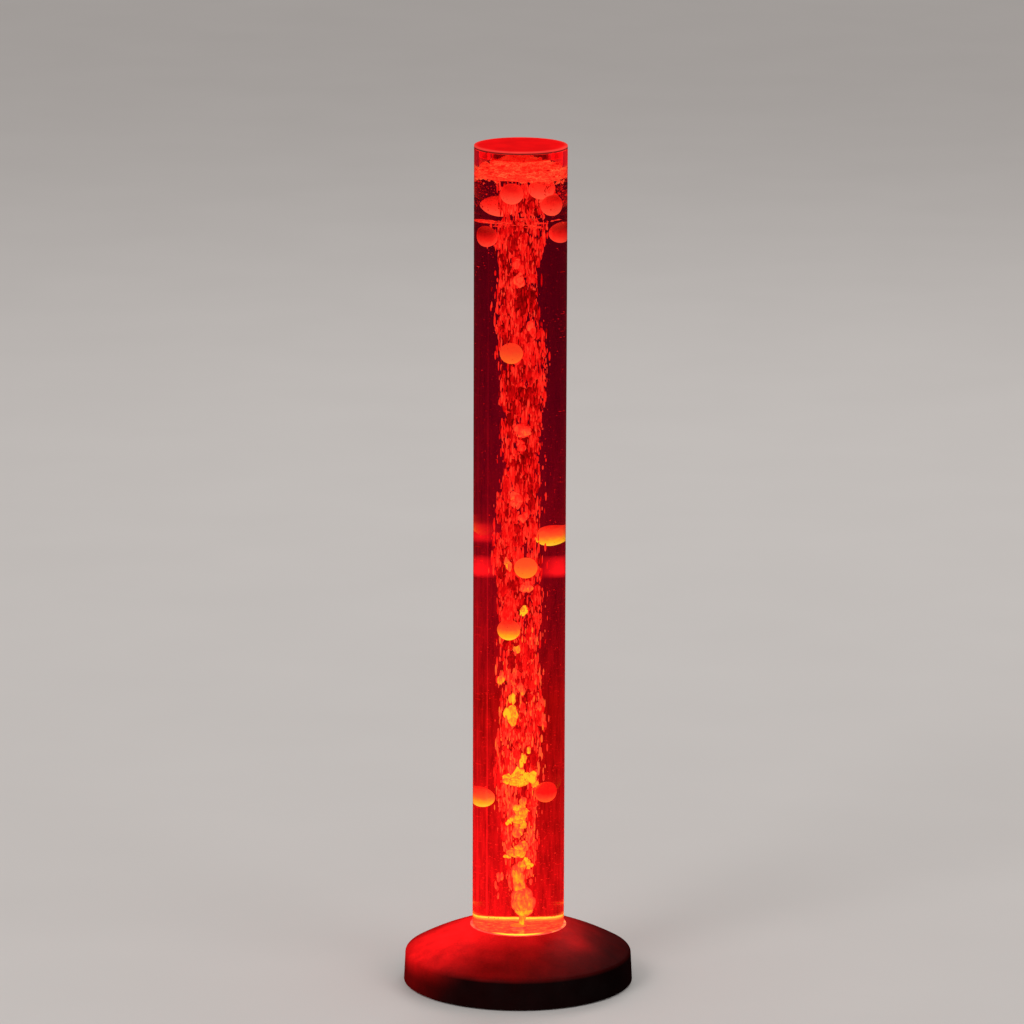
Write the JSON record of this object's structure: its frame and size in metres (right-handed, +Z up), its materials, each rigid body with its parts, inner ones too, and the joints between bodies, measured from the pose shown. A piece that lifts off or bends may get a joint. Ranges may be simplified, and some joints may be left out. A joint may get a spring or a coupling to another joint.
{
  "type": "bubble tube floor lamp",
  "caption": "Floor lamp with a tall clear water tube on a low domed base: lit air bubbles rise through floating balls, with a lift-off lid and rear controls.",
  "frame": {"origin": "centre of the base at floor level, on the axis of the tube", "axes": "+Z up along the tube, -Y to the front, +Y to the controls at the back, +X to the right seen from the front"},
  "size_m": [0.25, 0.25, 0.925],
  "materials": {
    "black_case": "moulded satin",
    "rubber": "matte",
    "steel": "zinc plated",
    "clear_acrylic": "polished",
    "frosted_acrylic": "satin",
    "silicone": "translucent",
    "clamp_plastic": "moulded",
    "circuit_board": "solder mask",
    "led": "diffuse",
    "brass": "turned",
    "magnet": "ground",
    "copper": "enamelled wire",
    "jack": "moulded",
    "white_ball": "moulded gloss"
  },
  "bodies": {
    "lamp": {"base_shell": "black_case", "base_plate": "black_case", "foot_1": "rubber", "foot_2": "rubber", "foot_3": "rubber", "foot_4": "rubber", "case_screws": "steel", "tube": "clear_acrylic", "tube_floor": "clear_acrylic", "tube_flange": "clear_acrylic", "flange_gasket": "rubber", "clamp_ring": "clamp_plastic", "clamp_screws": "steel", "tube_seal": "silicone", "led_board": "circuit_board", "leds": "led", "led_standoffs": "brass", "led_screws": "steel", "air_nozzle": "clamp_plastic", "nozzle_seal": "rubber", "nozzle_nut": "clamp_plastic", "check_valve": "clamp_plastic", "air_hose_lower": "silicone", "air_hose_upper": "silicone", "pump_housing": "black_case", "pump_lid": "black_case", "pump_feet": "rubber", "pump_core": "steel", "pump_coil": "copper", "pump_pivot_pin": "steel", "pump_diaphragm": "rubber", "pump_valve_head": "clamp_plastic", "power_jack": "jack", "jack_nut": "clamp_plastic", "switch_frame": "black_case", "tact_switch": "jack", "control_board": "circuit_board", "board_screws": "steel", "board_components": "jack", "led_cable": "jack", "pump_cable": "jack"},
    "lid": {"lid": "frosted_acrylic"},
    "power_rocker": {"power_rocker": "black_case"},
    "colour_button": {"colour_button": "black_case"},
    "pump_lever": {"pump_lever": "clamp_plastic", "pump_magnet": "magnet"},
    "ball_01": {"ball_01": "white_ball"},
    "ball_02": {"ball_02": "white_ball"},
    "ball_03": {"ball_03": "white_ball"},
    "ball_04": {"ball_04": "white_ball"},
    "ball_05": {"ball_05": "white_ball"},
    "ball_06": {"ball_06": "white_ball"},
    "ball_07": {"ball_07": "white_ball"},
    "ball_08": {"ball_08": "white_ball"},
    "ball_09": {"ball_09": "white_ball"},
    "ball_10": {"ball_10": "white_ball"},
    "ball_11": {"ball_11": "white_ball"},
    "ball_12": {"ball_12": "white_ball"},
    "ball_13": {"ball_13": "white_ball"}
  },
  "joints": [
    {"name": "lid_lift", "type": "slide", "parent": "lamp", "child": "lid", "axis": [0, 0, 1], "range_m": [0, 0.15]},
    {"name": "rocker_tilt", "type": "hinge", "parent": "lamp", "child": "power_rocker", "pos_m": [-0.028, 0.1115, 0.0175], "axis": [0, 0, 1], "range_deg": [-16, 0]},
    {"name": "button_press", "type": "slide", "parent": "lamp", "child": "colour_button", "axis": [0, -1, 0], "range_m": [0, 0.0012], "stiffness_N_per_m": 300},
    {"name": "lever_swing", "type": "hinge", "parent": "lamp", "child": "pump_lever", "pos_m": [0.08, -0.02, 0.019], "axis": [0, 0, 1], "range_deg": [-1.5, 1.5], "stiffness_Nm_per_rad": 0.2},
    {"name": "ball_01_float", "type": "slide", "parent": "lamp", "child": "ball_01", "axis": [0, 0, 1], "range_m": [0, 0.004]},
    {"name": "ball_02_float", "type": "slide", "parent": "lamp", "child": "ball_02", "axis": [0, 0, 1], "range_m": [-0.005, 0.006]},
    {"name": "ball_03_float", "type": "slide", "parent": "lamp", "child": "ball_03", "axis": [0, 0, 1], "range_m": [-0.014, 0.018]},
    {"name": "ball_04_float", "type": "slide", "parent": "lamp", "child": "ball_04", "axis": [0, 0, 1], "range_m": [-0.394, 0]},
    {"name": "ball_05_float", "type": "slide", "parent": "lamp", "child": "ball_05", "axis": [0, 0, 1], "range_m": [-0.318, 0.027]},
    {"name": "ball_06_float", "type": "slide", "parent": "lamp", "child": "ball_06", "axis": [0, 0, 1], "range_m": [-0.171, 0.015]},
    {"name": "ball_07_float", "type": "slide", "parent": "lamp", "child": "ball_07", "axis": [0, 0, 1], "range_m": [-0.754, 0.055]},
    {"name": "ball_08_float", "type": "slide", "parent": "lamp", "child": "ball_08", "axis": [0, 0, 1], "range_m": [-0.025, 0.142]},
    {"name": "ball_09_float", "type": "slide", "parent": "lamp", "child": "ball_09", "axis": [0, 0, 1], "range_m": [-0.016, 0.143]},
    {"name": "ball_10_float", "type": "slide", "parent": "lamp", "child": "ball_10", "axis": [0, 0, 1], "range_m": [-0.021, 0.19]},
    {"name": "ball_11_float", "type": "slide", "parent": "lamp", "child": "ball_11", "axis": [0, 0, 1], "range_m": [-0.325, 0.028]},
    {"name": "ball_12_float", "type": "slide", "parent": "lamp", "child": "ball_12", "axis": [0, 0, 1], "range_m": [-0.143, 0.226]},
    {"name": "ball_13_float", "type": "slide", "parent": "lamp", "child": "ball_13", "axis": [0, 0, 1], "range_m": [-0.131, 0.314]}
  ]
}
